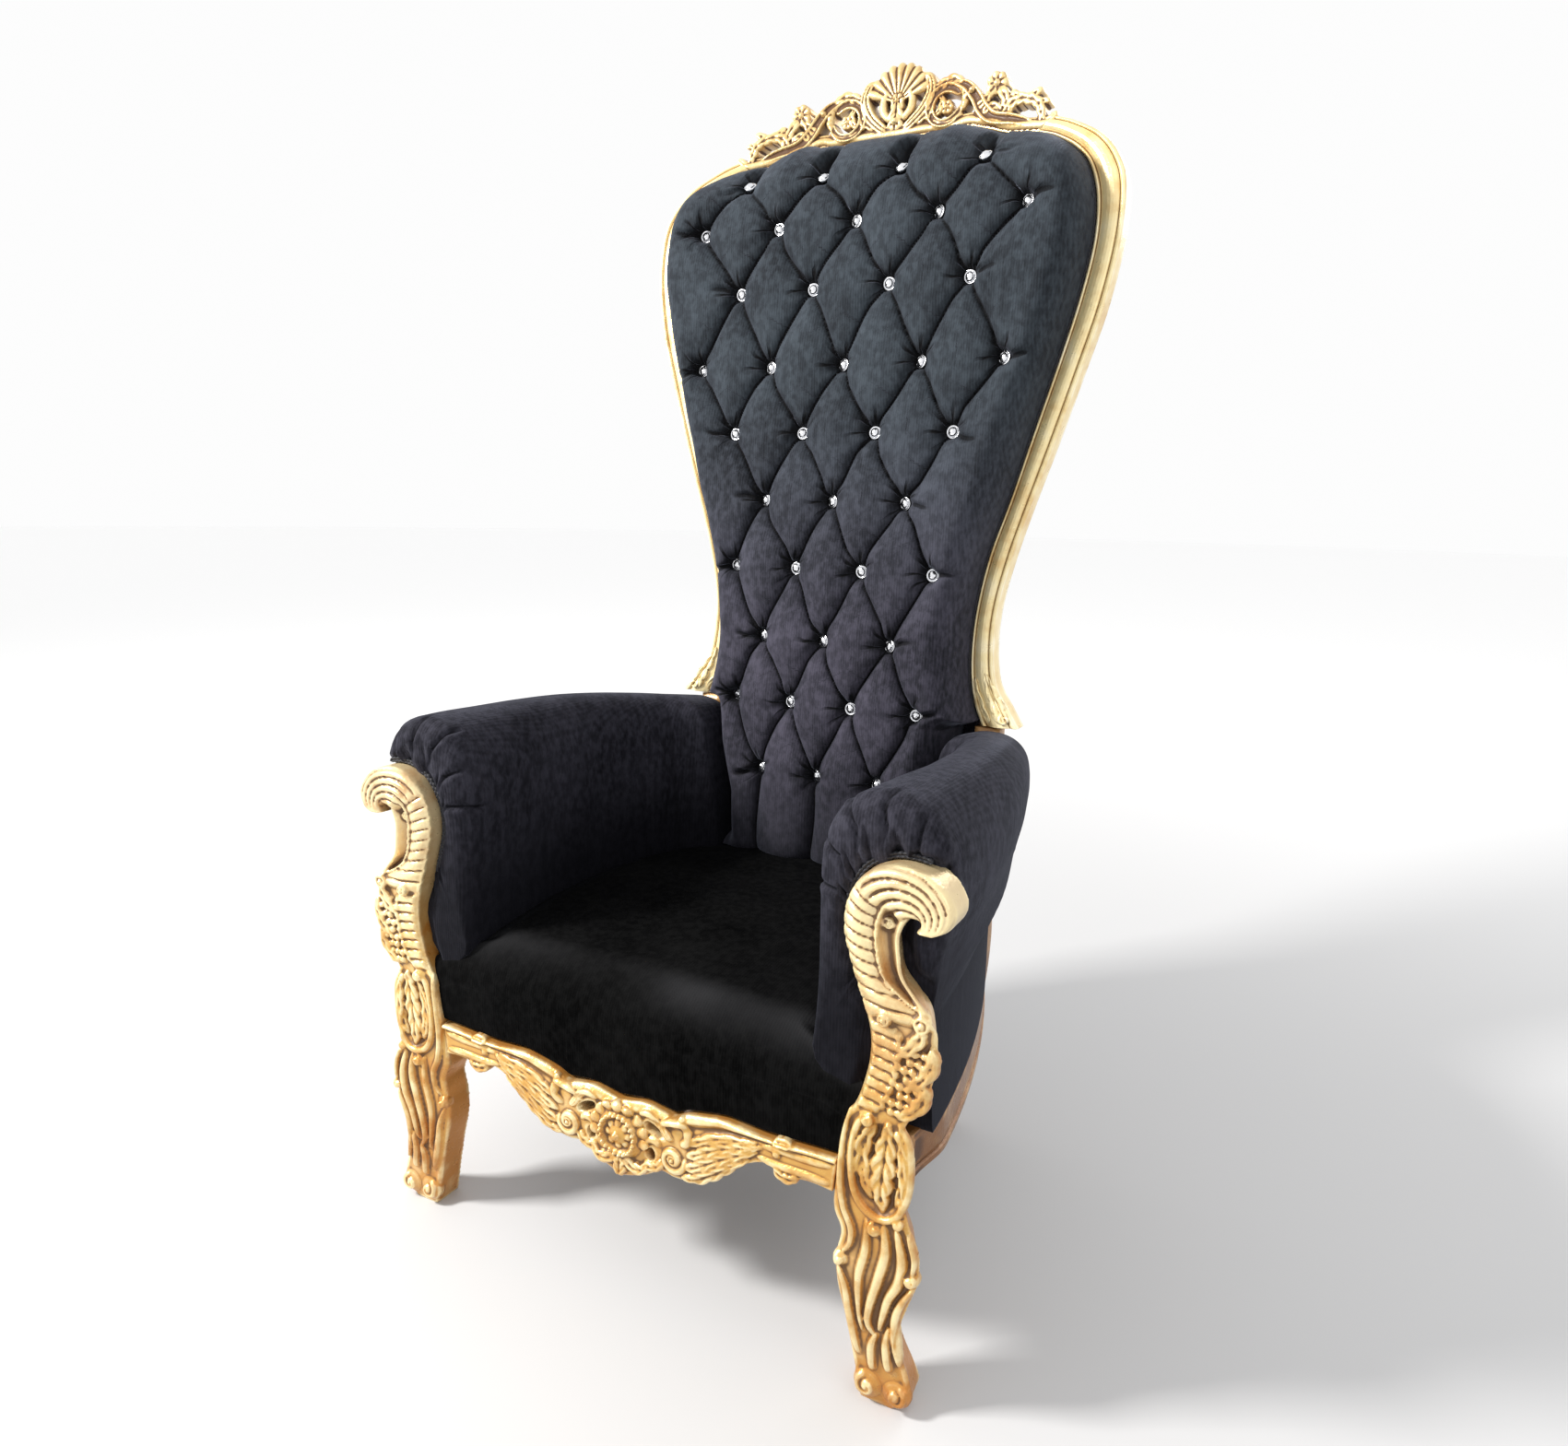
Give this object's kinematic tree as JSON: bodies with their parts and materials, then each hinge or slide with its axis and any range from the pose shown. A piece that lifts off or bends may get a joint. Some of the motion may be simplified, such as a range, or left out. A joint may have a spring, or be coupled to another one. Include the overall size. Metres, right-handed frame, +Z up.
{
  "type": "throne",
  "caption": "High-backed carved and gilded throne chair with C-scroll arm supports, pierced apron and crest, and buttoned velvet upholstery.",
  "frame": {"origin": "middle of the footprint at floor level", "axes": "+Z up, -Y the front, +X the sitter's left"},
  "size_m": [0.9126, 0.8715, 1.8],
  "materials": {
    "gilt": "carved timber, gold leaf finish with brown toning in the hollows",
    "old_gilt": "plain timber, thin bronze gold paint",
    "velvet": "black ribbed velvet with a cool sheen",
    "crystal": "faceted crystal buttons in a silvered rim"
  },
  "bodies": {
    "root": {"front_post_left": "gilt", "front_post_right": "gilt", "side_rail_left": "old_gilt", "side_rail_right": "old_gilt", "rear_leg_left": "old_gilt", "rear_leg_right": "old_gilt", "back_stile_left": "gilt", "back_stile_right": "gilt", "arm_left": "velvet", "arm_right": "velvet", "front_rail": "gilt", "rear_rail": "old_gilt", "crest_rail": "gilt", "seat_pad": "velvet", "back_pad": "velvet", "back_panel": "velvet", "button_1_1": "crystal", "button_1_2": "crystal", "button_1_3": "crystal", "button_1_4": "crystal", "button_2_1": "crystal", "button_2_2": "crystal", "button_2_3": "crystal", "button_2_4": "crystal", "button_2_5": "crystal", "button_3_1": "crystal", "button_3_2": "crystal", "button_3_3": "crystal", "button_3_4": "crystal", "button_4_1": "crystal", "button_4_2": "crystal", "button_4_3": "crystal", "button_4_4": "crystal", "button_4_5": "crystal", "button_5_1": "crystal", "button_5_2": "crystal", "button_5_3": "crystal", "button_5_4": "crystal", "button_6_1": "crystal", "button_6_2": "crystal", "button_6_3": "crystal", "button_7_1": "crystal", "button_7_2": "crystal", "button_7_3": "crystal", "button_7_4": "crystal", "button_8_1": "crystal", "button_8_2": "crystal", "button_8_3": "crystal", "button_9_1": "crystal", "button_9_2": "crystal", "button_9_3": "crystal", "button_9_4": "crystal", "button_10_1": "crystal", "button_10_2": "crystal", "button_10_3": "crystal"}
  },
  "joints": []
}
